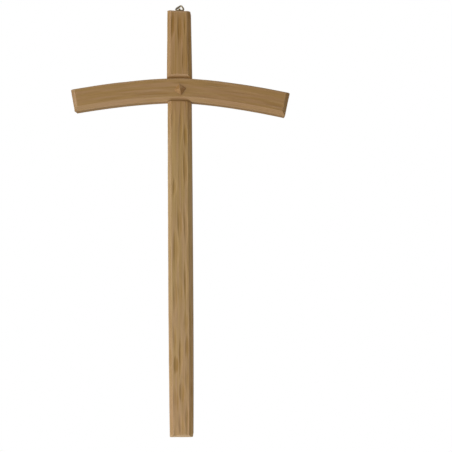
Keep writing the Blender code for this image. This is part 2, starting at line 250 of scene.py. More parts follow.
class Wire:
    """One output in a node tree. Arithmetic adds Math nodes, and node() adds any other kind."""

    def __init__(self, tree, socket=None):
        self.tree = tree
        self.socket = socket

    def node(self, kind, settings=None, sockets=None, out=0):
        """A new node with its settings and its sockets' values or links. out names or numbers its output."""
        made = self.tree.nodes.new(kind)
        for name, value in (settings or {}).items():
            setattr(made, name, value)
        for name, value in (sockets or {}).items():
            if isinstance(value, Wire):
                value.into(made, name)
            else:
                made.inputs[name].default_value = value
        return Wire(self.tree, made.outputs[out])

    def into(self, node, name):
        """Links this output to a socket of a node that is there already."""
        self.tree.links.new(self.socket, node.inputs[name])

    def outputs(self):
        """All outputs of this wire's node, by name."""
        return {socket.name: Wire(self.tree, socket) for socket in self.socket.node.outputs}

    def math(self, operation, *values):
        return self.node("ShaderNodeMath", {"operation": operation}, dict(enumerate(values)))

    def __add__(self, other):
        return self.math("ADD", self, other)

    def __radd__(self, other):
        return self.math("ADD", other, self)

    def __sub__(self, other):
        return self.math("SUBTRACT", self, other)

    def __rsub__(self, other):
        return self.math("SUBTRACT", other, self)

    def __mul__(self, other):
        return self.math("MULTIPLY", self, other)

    def __rmul__(self, other):
        return self.math("MULTIPLY", other, self)

    def __truediv__(self, other):
        return self.math("DIVIDE", self, other)

    def __rtruediv__(self, other):
        return self.math("DIVIDE", other, self)

    def __abs__(self):
        return self.math("ABSOLUTE", self)

    def __gt__(self, other):
        return self.math("GREATER_THAN", self, other)

    def most(self, other):
        return self.math("MAXIMUM", self, other)

    def sign(self):
        return self.math("SIGN", self)

    def root(self):
        return self.math("SQRT", self)

    def part(self):
        """What is left over a whole number."""
        return self.math("FRACT", self)

    def rise(self, low, high, to_low=0.0, to_high=1.0):
        """Runs smoothly from to_low to to_high while this goes from low to high."""
        return self.node(
            "ShaderNodeMapRange",
            {"interpolation_type": "SMOOTHSTEP"},
            {"Value": self, "From Min": low, "From Max": high, "To Min": to_low, "To Max": to_high},
        )

    def axes(self):
        """The three numbers of a vector."""
        made = self.node("ShaderNodeSeparateXYZ", sockets={0: self})
        return tuple(Wire(self.tree, socket) for socket in made.socket.node.outputs)

    def vector(self, x, y, z):
        return self.node("ShaderNodeCombineXYZ", sockets={0: x, 1: y, 2: z})


def mixed(share, one, other, how="MIX"):
    """A colour between one and other, by a share from 0 to 1."""
    return share.node(
        "ShaderNodeMix",
        {"data_type": "RGBA", "blend_type": how},
        {"Factor": share, 6: one, 7: other},
        out=2,
    )


def bumped(height, strength, distance):
    """The normal of a surface that has this height on it."""
    sockets = {"Strength": strength, "Distance": distance, "Height": height}
    return height.node("ShaderNodeBump", sockets=sockets, out="Normal")


def stored(start, name, out="Fac"):
    """A number or a vector that is stored on the surface."""
    return start.node("ShaderNodeAttribute", {"attribute_name": name}, out=out)


def start_material(name):
    """A new material, its shader, and a wire to start from."""
    material = bpy.data.materials.new(name)
    material.use_nodes = True
    return material, material.node_tree.nodes["Principled BSDF"], Wire(material.node_tree)


print("wire operators:", ", ".join(name for name in vars(Wire) if name.startswith("__")))

# %% [markdown]
# ## The wood's finish
# The boards are of a pale, fine wood under a thin wax. Close to, such wood shows faint growth rings, silky
# fibres and short dark pores, all along the grain, and arcs on the end grain. The wax gathers in long
# streaks and in the gouge hollows, and wears thin on the ridges. The corners of the joint get painted shade.
# A picture of wood would repeat, and its grain would not meet at the ends. A solid pattern, in coordinates
# that run along, across and through each board, gives faces and end grain that belong together. Four numbers
# stored on the surface place the rest: how deep the gouge went, how much an edge stands out (with a painted
# highlight on the foot's bevel), how much stain and painted shade sit in a place, and how much of a painted
# pale sheen lies there.

# %% Wood material
MM = 1000.0  # millimetres in a metre
RING_WIDTH = 2.1  # from one growth ring to the next, in mm

# Shades of the wood in red, green and blue, as shares of its middle colour
PALE_GRAIN, DARK_GRAIN = (1.09, 1.09, 1.06), (0.84, 0.79, 0.66)
ROSY_SHADE, PORE_SHADE = (1.06, 1.02, 1.30), (0.52, 0.44, 0.35)
STAIN_SHADE, STREAK_SHADE = (0.72, 0.60, 0.22), (0.76, 0.64, 0.30)
# Pale wear with a painted highlight, then painted shade with stain
WEAR_AND_HIGHLIGHT_SHADE, SHADE_AND_STAIN_TONE = (1.2, 1.24, 1.6), (0.66, 0.52, 0.30)
SHEEN_TINT = (1.07, 1.17, 1.24, 1)  # multiplies the colour where a pale sheen is painted


def wood(name, tint, heart, seed, figure, rose):
    """Waxed wood. Tint is its middle colour, heart where the tree's middle lies on the end grain, in mm.

    figure is how strongly the grain, the stain and its streaks show, rose how much of the wood has a rosy
    tinge.
    """
    material, shader, start = start_material(name)
    along, across, deep = (axis * MM for axis in stored(start, "grain", "Vector").axes())
    pressed, worn = stored(start, "pressed"), stored(start, "worn")
    nook, faded = stored(start, "nook"), stored(start, "faded")

    def noise(length, width, detail=2.0, shift=0.0, rough=0.5, depth=None):
        """Smooth noise, drawn out along the grain: length, width and depth of its waves in mm."""
        place = start.vector((along + shift) / length, across / width, deep / (depth or width))
        return start.node(
            "ShaderNodeTexNoise",
            {"noise_dimensions": "3D"},
            {"Vector": place, "Scale": 1.0, "Detail": detail, "Roughness": rough},
        )

    def shade(shares):
        return (*(part * share for part, share in zip(tint, shares)), 1)

    wander = (noise(95, 16, 2, seed * 31) - 0.5) * 9 + (noise(22, 5, 2, seed * 17) - 0.5) * 1.1
    side, behind = across - heart[0] + wander, deep - heart[1]
    ring = ((side * side + behind * behind).root() / RING_WIDTH).part()
    late = ring.rise(0.45, 0.93) * ring.rise(0.93, 1.0, 1.0, 0.0)
    fibres = noise(14, 0.22, 3, seed * 7, 0.6)
    threads = noise(75, 0.75, 3, seed * 13, 0.55, depth=3)
    clouds = noise(70, 9, 2, seed * 5)
    pores = noise(2.6, 0.16, 1, seed * 3).rise(0.66, 0.76)
    rosy = noise(55, 2.6, 2, seed * 23).rise(0.42, 0.62)
    streaks = noise(120, 0.8, 2, seed * 41, depth=5).rise(0.54, 0.62)
    stain = pressed.root() * 0.5 + (threads - 0.5) * 1.6 + (fibres - 0.5) * 0.35
    clear = 1 - faded * 0.35  # the stain shows less under the painted sheen

    tone = late * 0.28 + threads.rise(0.32, 0.68) * 0.40
    tone = tone + fibres.rise(0.3, 0.75) * 0.16 + clouds.rise(0.35, 0.7) * 0.22
    colour = mixed((tone - 0.5) * figure + 0.5, shade(PALE_GRAIN), shade(DARK_GRAIN))
    colour = mixed(rosy * rose, colour, shade(ROSY_SHADE))
    colour = mixed(pores * 0.35, colour, shade(PORE_SHADE))
    colour = mixed(stain.rise(0.26, 0.46) * clear * (0.55 * figure), colour, shade(STAIN_SHADE))
    colour = mixed(streaks * clear * (0.35 * figure), colour, shade(STREAK_SHADE))
    # Paler where edges are worn, and a painted highlight on the foot's bevel
    colour = mixed(worn.rise(0.1, 1.0) * (0.35 + threads * 0.3), colour, shade(WEAR_AND_HIGHLIGHT_SHADE))
    # A painted pale sheen on the shaft
    colour = mixed(faded, colour, SHEEN_TINT, "MULTIPLY")
    # Painted shade by the joint, on the bar's right half and on the peg, and stain on the bar's end grain
    colour = mixed(nook * 0.75, colour, shade(SHADE_AND_STAIN_TONE))
    colour.into(shader, "Base Color")

    gloss = 0.54 - late * 0.05 - worn.rise(0.1, 1.0) * 0.10 + pores * 0.12 + (threads - 0.5) * 0.14
    gloss.into(shader, "Roughness")
    height = fibres * 0.45 + threads * 0.5 - pores * 0.8 - late * 0.15
    bumped(height, 0.55, 0.00010).into(shader, "Normal")
    print(f"{name}: {len(material.node_tree.nodes)} nodes")
    return material


post_wood = wood("post_wood", (0.487, 0.289, 0.105), (-9.0, 34.0), 1, 1.75, 0.7)
bar_wood = wood("bar_wood", (0.475, 0.282, 0.101), (6.0, 41.0), 2, 0.6, 0.7)
peg_wood = wood("peg_wood", (0.445, 0.243, 0.080), (1.0, 9.0), 3, 1.0, 0.1)

# %% [markdown]
# ## The brass finish
# Ring, strap and screw are of brass that has lain about for years: a dull film, darker in patches, and
# brighter metal where things rub. One material in three tones does for all of them. Its patches read Object
# coordinates, and the wear reads the number stored where an edge stands out.

# %% Brass material


def brass(name, metal, film, seed):
    """Aged brass: bare metal on the edges under a dull film elsewhere."""
    material, shader, start = start_material(name)
    place = start.node("ShaderNodeTexCoord", out="Object")
    x, y, z = place.axes()
    place = start.vector(x * MM + seed * 9, y * MM, z * MM)
    worn = stored(start, "worn")
    patches = start.node(
        "ShaderNodeTexNoise", sockets={"Vector": place, "Scale": 0.55, "Detail": 4.0, "Roughness": 0.6}
    )
    specks = start.node(
        "ShaderNodeTexNoise", sockets={"Vector": place, "Scale": 4.5, "Detail": 3.0, "Roughness": 0.6}
    )
    cover = patches.rise(0.32, 0.68) * 0.7 + specks.rise(0.5, 0.75) * 0.3
    cover = cover * (1 - worn.rise(0.05, 0.6) * 0.75)
    colour = mixed(cover, (*metal, 1), (*film, 1))
    colour.into(shader, "Base Color")
    (0.38 + cover * 0.26 + specks * 0.06).into(shader, "Roughness")
    bumped(specks + patches * 0.5, 0.20, 0.00005).into(shader, "Normal")
    shader.inputs["Metallic"].default_value = 1.0
    print(f"{name}: {len(material.node_tree.nodes)} nodes")
    return material


ring_brass = brass("ring_brass", (0.52, 0.45, 0.33), (0.24, 0.20, 0.14), 1)
strap_brass = brass("strap_brass", (0.44, 0.32, 0.14), (0.22, 0.15, 0.06), 2)
screw_brass = brass("screw_brass", (0.60, 0.45, 0.21), (0.27, 0.20, 0.10), 3)

# %% [markdown]
# ## Shapes that several pieces share
# A loft through rings of points makes the boards, the peg and every cutter. Blender's Boolean makes the cuts.
# It doesn't carry numbers stored on points through a cut, so those are copied afterwards from the uncut
# surface, point by nearest point.

# %% Lofts, prisms and cuts
WELD = 0.00001
PAST = 0.0020  # how far a cutter runs on through the surface it opens


def new_object(name, mesh):
    made = bpy.data.objects.new(name, mesh)
    bpy.context.scene.collection.objects.link(made)
    return made


def closed_mesh(name, bm):
    """Welds a shape that has no open edge, and turns all its faces outwards."""
    bmesh.ops.remove_doubles(bm, verts=bm.verts, dist=WELD)
    bmesh.ops.dissolve_degenerate(bm, edges=bm.edges, dist=WELD)
    bmesh.ops.recalc_face_normals(bm, faces=bm.faces)
    mesh = bpy.data.meshes.new(name)
    bm.to_mesh(mesh)
    bm.free()
    return mesh


def loft(name, rings, place=Matrix.Identity(4)):
    """A closed solid through rings of equally many points, with both ends capped."""
    bm = bmesh.new()
    loops = [[bm.verts.new(place @ Vector(point)) for point in ring] for ring in rings]
    for here, there in zip(loops, loops[1:]):
        for i in range(len(here)):
            j = (i + 1) % len(here)
            bm.faces.new((here[i], here[j], there[j], there[i]))
    bm.faces.new(loops[0])
    bm.faces.new(loops[-1])
    return new_object(name, closed_mesh(name, bm))


def prism(name, outline, low, high, axis):
    """A flat outline of (a, b) points pushed along axis from low to high: X takes (y, z), Y takes (x, z)."""
    place = {"X": lambda a, b, t: (t, a, b), "Y": lambda a, b, t: (a, t, b)}[axis]
    return loft(name, [[place(a, b, t) for a, b in outline] for t in (low, high)])


def plain_mesh(piece):
    """The piece's mesh with its modifiers worked in, and the modifiers removed."""
    graph = bpy.context.evaluated_depsgraph_get()
    mesh = bpy.data.meshes.new_from_object(piece.evaluated_get(graph))
    piece.modifiers.clear()
    piece.data = mesh
    mesh.name = piece.name
    return mesh


def cut(piece, cutters):
    """Takes each cutter out of the piece."""
    for cutter in cutters:
        hole = piece.modifiers.new("Cut", "BOOLEAN")
        hole.operation = "DIFFERENCE"
        hole.object = cutter
    plain_mesh(piece)
    for cutter in cutters:
        bpy.data.objects.remove(cutter)


def points_of(mesh):
    places = np.empty(len(mesh.vertices) * 3, np.float32)
    mesh.vertices.foreach_get("co", places)
    return places.reshape(-1, 3)


def numbers_of(mesh, name):
    """The numbers stored under a name, one for each point."""
    values = np.empty(len(mesh.vertices), np.float32)
    mesh.attributes[name].data.foreach_get("value", values)
    return values


def store(mesh, name, values):
    """Keeps one number or one vector for each point of the mesh."""
    values = np.asarray(values, np.float32)
    kind, field = ("FLOAT", "value") if values.ndim == 1 else ("FLOAT_VECTOR", "vector")
    old = mesh.attributes.get(name)
    if old:
        mesh.attributes.remove(old)
    mesh.attributes.new(name, kind, "POINT").data.foreach_set(field, values.ravel())


def edge_wear(mesh, full, passes=2):
    """How much each point stands out from its neighbours, from 0 on flats to 1 on a sharp edge."""
    places = points_of(mesh).astype(float)
    normals = np.empty(len(places) * 3, np.float32)
    mesh.vertex_normals.foreach_get("vector", normals)
    normals = normals.reshape(-1, 3)
    ends = np.empty(len(mesh.edges) * 2, np.int32)
    mesh.edges.foreach_get("vertices", ends)
    one, two = ends.reshape(-1, 2).T
    run = places[two] - places[one]
    run /= np.maximum(np.linalg.norm(run, axis=1), 1e-9)[:, None]
    total, count = np.zeros(len(places)), np.zeros(len(places))
    for here, way in ((one, run), (two, -run)):
        np.add.at(total, here, -np.sum(normals[here] * way, axis=1))
        np.add.at(count, here, 1)
    wear = total / np.maximum(count, 1)
    for _ in range(passes):
        near = wear.copy()
        np.add.at(near, one, wear[two])
        np.add.at(near, two, wear[one])
        wear = near / (count + 1)
    return np.clip(wear / full, 0, 1)


# %% [markdown]
# ## A board's cross-section
# Each board is a loft through many cross-sections: a flat back, square sides, a bevel along each front edge
# and a flat face between. No real arris is quite sharp, so each corner becomes a small arc. Every section has
# the same number of points, so that the rings join up. With each point goes its distance round the section
# from the middle of the face, because the gouge follows the surface over the arris.

# %% Cross-section of a board
ARRIS = 0.00035  # roundness of the arrises round the face
OUTER = 0.00055  # of the outer edges
RUNS = (5, 9, 44, 9, 5, 12)  # strips on side, bevel, face, bevel, side and back
CORNER_POINTS = 4
CORNER_ROOM = 0.4  # the share of a side that a corner's curve may take


def corner_arc(before, corner, after, radius):
    """Points of a small curve that takes the corner's place."""
    to_before, to_after = before - corner, after - corner
    room = CORNER_ROOM * min(to_before.length, to_after.length)
    if room < WELD:
        return [corner.copy() for _ in range(CORNER_POINTS)]
    turn = to_before.angle(to_after)
    back_off = min(room, radius / math.tan(turn / 2))
    first, last = corner + to_before.normalized() * back_off, corner + to_after.normalized() * back_off
    arc = []
    for i in range(CORNER_POINTS):
        share = i / (CORNER_POINTS - 1)
        arc.append(first.lerp(corner, share).lerp(corner.lerp(last, share), share))
    return arc


def section(left, right, left_bevel, right_bevel, sunk, inset):
    """Rows of (across, depth, distance round from the face's middle) for one cross-section.

    sunk lowers the face, which then widens along the bevels' slopes. inset draws the whole outline in.
    """
    low = left + left_bevel[0] * max(0.0, 1 - sunk / left_bevel[1])
    high = right - right_bevel[0] * max(0.0, 1 - sunk / right_bevel[1])
    front = -(BOARD - sunk)
    corners = [
        Vector((left, 0)),
        Vector((left, -(BOARD - max(sunk, left_bevel[1])))),
        Vector((low, front)),
        Vector((high, front)),
        Vector((right, -(BOARD - max(sunk, right_bevel[1])))),
        Vector((right, 0)),
    ]
    radii = (OUTER, ARRIS, ARRIS, ARRIS, ARRIS, OUTER)
    arcs = []
    for i, corner in enumerate(corners):
        arcs.append(corner_arc(corners[i - 1], corner, corners[(i + 1) % len(corners)], radii[i]))
    points = []
    for i, (arc, strips) in enumerate(zip(arcs, RUNS)):
        points += arc
        after = arcs[(i + 1) % len(arcs)][0]
        points += [arc[-1].lerp(after, k / strips) for k in range(1, strips)]
    round_way = np.concatenate(([0], np.cumsum([(b - a).length for a, b in zip(points, points[1:])])))
    face_start = sum(RUNS[:2]) + 2 * CORNER_POINTS - 2
    face_end = face_start + RUNS[2] + CORNER_POINTS
    round_way -= (round_way[face_start] + round_way[face_end]) / 2
    middle, width, depth = (left + right) / 2, right - left, BOARD
    rows = []
    for point, way in zip(points, round_way):
        across = middle + (point.x - middle) * (1 - 2 * inset / width)
        deep = -depth / 2 + (point.y + depth / 2) * (1 - 2 * inset / depth)
        rows.append((across, deep, way))
    return rows, (high - low) / 2


example, half_face = section(-BELLY_WIDTH / 2, BELLY_WIDTH / 2, POST_BEVEL, POST_BEVEL, 0, 0)
print(f"{len(example)} points in a section, face {2 * half_face * MM:.1f} mm wide")

# %% [markdown]
# ## Along the board
# The rings lie about a millimetre apart. At each end the face falls off in a short bevel, and the end itself
# has a small round edge, which a few close rings make by drawing the section in.

# %% Rings along a board
RING_STEP = 0.0010
END_ROUND = 0.0005
CAP_INSETS = (0.0012, 0.0030)  # rings on the end grain, inside its edge
END_ARC = math.radians(30)
END_RING_STEP = 0.0006  # between the rings of an end's bevel


def board_levels(low, high, low_bevel, high_bevel):
    """Rows of (place along, how far the face is sunk, how far the outline is drawn in)."""
    start, stop = low + low_bevel[0], high - high_bevel[0]
    inner = [(t, 0.0, 0.0) for t in steps(start + RING_STEP / 2, stop - RING_STEP / 2, RING_STEP)]

    def end(edge, bevel, sign):
        rows = [(edge, bevel[1], END_ROUND + more) for more in reversed(CAP_INSETS)]
        for angle in steps(0, math.pi / 2, END_ARC):
            away = END_ROUND * (1 - math.sin(angle))
            rows.append((edge + sign * END_ROUND * (1 - math.cos(angle)), bevel[1], away))
        first, count = END_ROUND / bevel[0], max(2, round(bevel[0] / END_RING_STEP))
        for i in range(1, count + 1):
            share = lerp(first, 1.0, i / count)
            rows.append((edge + sign * bevel[0] * share, bevel[1] * (1 - share), 0.0))
        return rows

    return end(low, low_bevel, 1) + inner + end(high, high_bevel, -1)[::-1]


def board(name, levels, section_at, point_at):
    """The whole board as a closed mesh, with each point's place on the surface stored on it."""
    rings, places = [], []
    for t, sunk, inset in levels:
        rows, half = section_at(t, sunk, inset)
        rings.append([point_at(t, across, deep) for across, deep, _ in rows])
        places.append([(t, way, half if sunk == 0 else 0.0) for _, _, way in rows])
    count = len(rings[0])
    verts = [point for ring in rings for point in ring]
    faces = []
    for r in range(len(rings) - 1):
        for i in range(count):
            j = (i + 1) % count
            faces.append((r * count + i, r * count + j, (r + 1) * count + j, (r + 1) * count + i))
    faces += [tuple(range(count)), tuple(range((len(rings) - 1) * count, len(rings) * count))]
    mesh = bpy.data.meshes.new(name)
    mesh.from_pydata(verts, [], faces)
    store(mesh, "place", [place for ring in places for place in ring])
    bm = bmesh.new()
    bm.from_mesh(mesh)
    bpy.data.meshes.remove(mesh)
    made = new_object(name, closed_mesh(name, bm))
    print(f"{name}: {len(rings)} rings of {count}, {len(made.data.vertices)} points")
    return made


def post_section(z, sunk, inset):
    half = post_half_width(z)
    return section(-half, half, POST_BEVEL, POST_BEVEL, sunk, inset)


def bar_section(x, sunk, inset):
    half = bar_depth(x) / 2
    return section(-half, half, BAR_LOWER_BEVEL, BAR_UPPER_BEVEL, sunk, inset)


def post_point(z, across, deep):
    """Near the top, the rings slope as the top does."""
    share = max(0.0, 1 - (POST_ABOVE - z) / TOP_SLOPE_REACH)
    return across, deep, z - TOP_SLOPE * across * share


def bar_point(x, across, deep):
    middle, up = bar_middle(x)
    return middle + up * across + Vector((0, deep, 0))


post = board(
    "post", board_levels(-POST_BELOW, POST_ABOVE, FOOT_BEVEL, TOP_BEVEL), post_section, post_point
)
bar = board(
    "bar",
    board_levels(-BAR_HALF_SPAN, BAR_HALF_SPAN, BAR_END_BEVEL, BAR_END_BEVEL),
    bar_section,
    bar_point,
)

# %% [markdown]
# ## Gouge strokes
# The carver pushed a shallow gouge along the grain in short overlapping runs. Each left a long hollow,
# pointed at both ends. Here a stroke is one loose point that carries its place and size. The points could be
# typed in, but hundreds of strokes are better dealt out in lanes with a fixed seed. Those on the face lie
# where the solids have them, and each bevel gets a row of its own.

# %% Strokes dealt out in lanes
LANE = 0.0056
STROKE_LENGTH = (0.028, 0.060)
STROKE_WIDTH = (0.0040, 0.0070)
STROKE_DEPTH = (0.00035, 0.00075)
STROKE_SHARE = 0.85
STROKE_SLANT = 0.045  # most that a stroke strays sideways along its way
STROKE_DRIFT = 0.25  # most that it lies off its lane's middle, in lanes
STROKE_PACE = (0.75, 1.15)  # from one stroke to the next, in strokes
POST_SEED, BAR_SEED = 11, 4

BEVEL_STROKE_LENGTH = (0.022, 0.060)
BEVEL_STROKE_DEPTH = (0.00010, 0.00032)
BEVEL_STROKE_HALF_WIDTH = (0.45, 0.75)  # in widths of the bevel
BEVEL_STROKE_DRIFT = 0.2
BEVEL_STROKE_PACE = (0.6, 0.9)
BEVEL_SEEDS = (21, 22, 23)


def face_strokes(low, high, half_width, seed):
    """Strokes in lanes along a face: middle along, middle across, half length, half width, depth, slant."""
    dice = random.Random(seed)
    strokes = []
    lanes = max(1, round(2 * half_width / LANE))
    for lane in range(lanes):
        across = lerp(-half_width, half_width, (lane + 0.5) / lanes)
        along = low - dice.uniform(0, STROKE_LENGTH[1])
        while along < high:
            length = dice.uniform(*STROKE_LENGTH)
            width = dice.uniform(*STROKE_WIDTH)
            depth = dice.uniform(*STROKE_DEPTH)
            drift = dice.uniform(-STROKE_DRIFT, STROKE_DRIFT) * LANE
            slant = dice.uniform(-STROKE_SLANT, STROKE_SLANT)
            if dice.random() < STROKE_SHARE:
                strokes.append((along + length / 2, across + drift, length / 2, width / 2, depth, slant))
            along += length * dice.uniform(*STROKE_PACE)
    return strokes


def bevel_strokes(low, high, middle, slope_width, seed):
    """One row of long strokes down the middle of a bevel."""
    dice = random.Random(seed)
    strokes = []
    along = low
    while along < high:
        length = dice.uniform(*BEVEL_STROKE_LENGTH)
        half_width = slope_width * dice.uniform(*BEVEL_STROKE_HALF_WIDTH)
        drift = slope_width * dice.uniform(-BEVEL_STROKE_DRIFT, BEVEL_STROKE_DRIFT)
        depth = dice.uniform(*BEVEL_STROKE_DEPTH)
        strokes.append((along + length / 2, middle + drift, length / 2, half_width, depth, 0.0))
        along += length * dice.uniform(*BEVEL_STROKE_PACE)
    return strokes


def stroke_points(name, strokes):
    """A mesh of loose points, one for each stroke, with its place and size stored on it."""
    mesh = bpy.data.meshes.new(name)
    mesh.from_pydata([(along, across, slant) for along, across, *_, slant in strokes], [], [])
    store(mesh, "stroke_size", [size for _, _, *size, _ in strokes])
    return new_object(name, mesh)


def bevel_length(bevel):
    return math.hypot(*bevel)


def bevel_middles(face, left, right):
    """Middle places of the two bevels, measured round the section."""
    return -(face + bevel_length(left) / 2), face + bevel_length(right) / 2


post_face = BELLY_WIDTH / 2 - POST_BEVEL[0]
bar_face = (bar_depth(0) - BAR_LOWER_BEVEL[0] - BAR_UPPER_BEVEL[0]) / 2
post_left, post_right = bevel_middles(post_face, POST_BEVEL, POST_BEVEL)
bar_low, _ = bevel_middles(bar_face, BAR_LOWER_BEVEL, BAR_UPPER_BEVEL)
post_slope, bar_slope = bevel_length(POST_BEVEL), bevel_length(BAR_LOWER_BEVEL)
post_strokes = face_strokes(-POST_BELOW, POST_ABOVE, post_face, POST_SEED)
post_strokes += bevel_strokes(-POST_BELOW, POST_ABOVE, post_left, post_slope, BEVEL_SEEDS[0])
post_strokes += bevel_strokes(-POST_BELOW, POST_ABOVE, post_right, post_slope, BEVEL_SEEDS[1])
bar_strokes = face_strokes(-BAR_HALF_SPAN, BAR_HALF_SPAN, bar_face, BAR_SEED)
bar_strokes += bevel_strokes(-BAR_HALF_SPAN, BAR_HALF_SPAN, bar_low, bar_slope, BEVEL_SEEDS[2])
print(f"{len(post_strokes)} strokes on the post, {len(bar_strokes)} on the bar")

# %% [markdown]
# ## Pressing the strokes into the wood
# This is a Geometry Nodes tree. A Repeat zone takes the strokes one after another and keeps, for each point
# of the board, the deepest cut so far: where two hollows meet, a crisp ridge is left. Near the arrises the
# strokes come out of the wood. A little unevenness from the hand is added, and each point moves inwards along
# its normal. A Displace modifier with a texture could do the unevenness, but not the pointed hollows.

# %% How a tree starts, ends and runs


def start_tree(name, inputs):
    """A Geometry Nodes tree with the inputs given as (name, kind, value): a wire in it, and its inputs."""
    tree = bpy.data.node_groups.new(name, "GeometryNodeTree")
    face = tree.interface
    face.new_socket(name="Geometry", in_out="INPUT", socket_type="NodeSocketGeometry")
    face.new_socket(name="Geometry", in_out="OUTPUT", socket_type="NodeSocketGeometry")
    for label, kind, value in inputs:
        made = face.new_socket(name=label, in_out="INPUT", socket_type="NodeSocket" + kind)
        if value is not None:
            made.default_value = value
    start = Wire(tree)
    return start, start.node("NodeGroupInput").outputs()


def end_tree(geometry, material):
    """Makes instances real, gives them their material and sends them out. Returns the tree."""
    tree = geometry.tree
    whole = geometry.node("GeometryNodeRealizeInstances", sockets={"Geometry": geometry})
    done = whole.node("GeometryNodeSetMaterial", sockets={"Geometry": whole, "Material": material})
    done.into(tree.nodes.new("NodeGroupOutput"), "Geometry")
    print(f"{tree.name}: {len(tree.nodes)} nodes")
    return tree


def run_tree(piece, tree, values):
    """Runs a Geometry Nodes tree on the piece with named values, and leaves a plain mesh."""
    work = piece.modifiers.new(tree.name, "NODES")
    work.node_group = tree
    sockets = {s.name: s.identifier for s in tree.interface.items_tree if s.in_out == "INPUT"}
    for name, value in values.items():
        work[sockets[name]] = value
    return plain_mesh(piece)


# %% The gouge's tree
LOPSIDED = 0.40  # the gouge was held tilted: how far the deepest line lies off the hollow's middle
EDGE_FADE = 0.0012
EDGE_SHARE = 0.35  # of a stroke's depth that is left on the arris itself
UNEVEN = 0.00014
UNEVEN_LENGTH, UNEVEN_WIDTH = 0.026, 0.0065
EVEN_FROM, EVEN_BY = 0.006, 0.018  # past the face's edge, the unevenness dies out between these


def gouge_tree():
    start, given = start_tree("press_gouge_strokes", (
        ("Strokes", "Object", None),
        ("Lopsided", "Float", LOPSIDED),
        ("Edge fade", "Float", EDGE_FADE),
        ("Unevenness", "Float", UNEVEN),
        ("Wave length", "Float", UNEVEN_LENGTH),
        ("Wave width", "Float", UNEVEN_WIDTH),
        ("Seed", "Float", 0.0),
        ("Material", "Material", None),
    ))
    tree = start.tree
    strokes = start.node(
        "GeometryNodeObjectInfo",
        {"transform_space": "ORIGINAL"},
        {"Object": given["Strokes"]},
        out="Geometry",
    )
    count = start.node("GeometryNodeAttributeDomainSize", {"component": "MESH"}, {"Geometry": strokes})
    place = start.node(
        "GeometryNodeInputNamedAttribute", {"data_type": "FLOAT_VECTOR"}, {"Name": "place"}
    )
    along, way, half_face = place.axes()

    def kept(name, kind="FLOAT"):
        return start.node("GeometryNodeInputNamedAttribute", {"data_type": kind}, {"Name": name})

    def keep(geometry, name, value):
        return start.node(
            "GeometryNodeStoreNamedAttribute",
            {"data_type": "FLOAT", "domain": "POINT"},
            {"Geometry": geometry, "Name": name, "Value": value},
        )

    zone_in = tree.nodes.new("GeometryNodeRepeatInput")
    zone_out = tree.nodes.new("GeometryNodeRepeatOutput")
    zone_in.pair_with_output(zone_out)
    count.into(zone_in, "Iterations")
    keep(given["Geometry"], "pressed", 0.0).into(zone_in, "Geometry")
    turn = Wire(tree, zone_in.outputs["Iteration"])

    def of_stroke(value):
        return start.node(
            "GeometryNodeSampleIndex",
            {"data_type": "FLOAT_VECTOR", "domain": "POINT"},
            {"Geometry": strokes, "Value": value, "Index": turn},
        ).axes()

    middle_along, middle_way, slant = of_stroke(start.node("GeometryNodeInputPosition"))
    half_length, half_width, depth = of_stroke(kept("stroke_size", "FLOAT_VECTOR"))
    u = (along - middle_along) / half_length
    v = (way - middle_way - slant * (along - middle_along)) / half_width
    v = v / (1 + given["Lopsided"] * v.sign())
    taper = (1 - u * u).most(0.0)
    hollow = depth * (taper * taper - v * v).most(0.0)
    deeper = keep(Wire(tree, zone_in.outputs["Geometry"]), "pressed", kept("pressed").most(hollow))
    deeper.into(zone_out, "Geometry")

    from_arris = abs(abs(way) - half_face)
    fade = from_arris.rise(0.0, given["Edge fade"], EDGE_SHARE, 1.0) * (half_face > 0.0)
    carved = keep(Wire(tree, zone_out.outputs["Geometry"]), "pressed", kept("pressed") * fade)
    seed = given["Seed"]
    wave = start.vector(along / given["Wave length"] + seed, way / given["Wave width"], seed)
    uneven = start.node(
        "ShaderNodeTexNoise", sockets={"Vector": wave, "Scale": 1.0, "Detail": 1.0}
    ).rise(0.25, 0.75) * given["Unevenness"]
    on_front = abs(way).rise(half_face + EVEN_FROM, half_face + EVEN_BY, 1.0, 0.0)
    sink = kept("pressed") + uneven * on_front
    normal = start.node("GeometryNodeInputNormal")
    shift = start.node(
        "ShaderNodeVectorMath", {"operation": "SCALE"}, {0: normal, "Scale": 0.0 - sink}
    )
    moved = start.node("GeometryNodeSetPosition", sockets={"Geometry": carved, "Offset": shift})
    return end_tree(moved, given["Material"])


# %% The strokes are pressed
CUT_SHOWS = 0.0001  # a point counts as cut from this depth

gouge = gouge_tree()
for piece, strokes, material, seed in (
    (post, post_strokes, post_wood, 3.0),
    (bar, bar_strokes, bar_wood, 8.0),
):
    marks = stroke_points(piece.name + "_strokes", strokes)
    mesh = run_tree(piece, gouge, {"Strokes": marks, "Seed": seed, "Material": material})
    bpy.data.objects.remove(marks)
    pressed = numbers_of(mesh, "pressed")
    touched = (pressed > CUT_SHOWS).mean()
    print(f"{piece.name}: deepest stroke {pressed.max() * MM:.2f} mm, {touched:.0%} of points cut")

# %% [markdown]
# ## The joint
# The bar crosses the post in front and each gives way by half: the post loses a lap, with a little bevel
# above it, and the bar is notched behind. A straight square hole takes the peg. The back of the post has a
# pocket for the strap and a hole for its screw. All of these are Boolean cuts with simple solids. Their
# shapes depend on the hanger's sizes too, so those come first.

# %% Sizes of the peg and the hanger
PEG_SIDE = 0.0091
PEG_TURN = math.radians(34)
PEG_HEIGHT = 0.0030
PEG_PROUD = 0.0004
PEG_INSIDE = 0.0120

WIRE = 0.0022
WIRE_PLAY = 0.0003  # between the wire and the strap, all round
STRAP_THICK, STRAP_SUNK = 0.0008, 0.0003
PLATE_WIDTH, PLATE_LENGTH = 0.0090, 0.0170
TONGUE_TAPER = 0.0014
SCREW_BELOW = 0.0095
SCREW_HEAD = (0.0048, 0.0014)
SCREW_SHANK = (0.0024, 0.0095)
SCREW_SLOT = (0.0008, 0.0006)
ROLL = math.radians(285)  # how far the tongue wraps round the ring's base

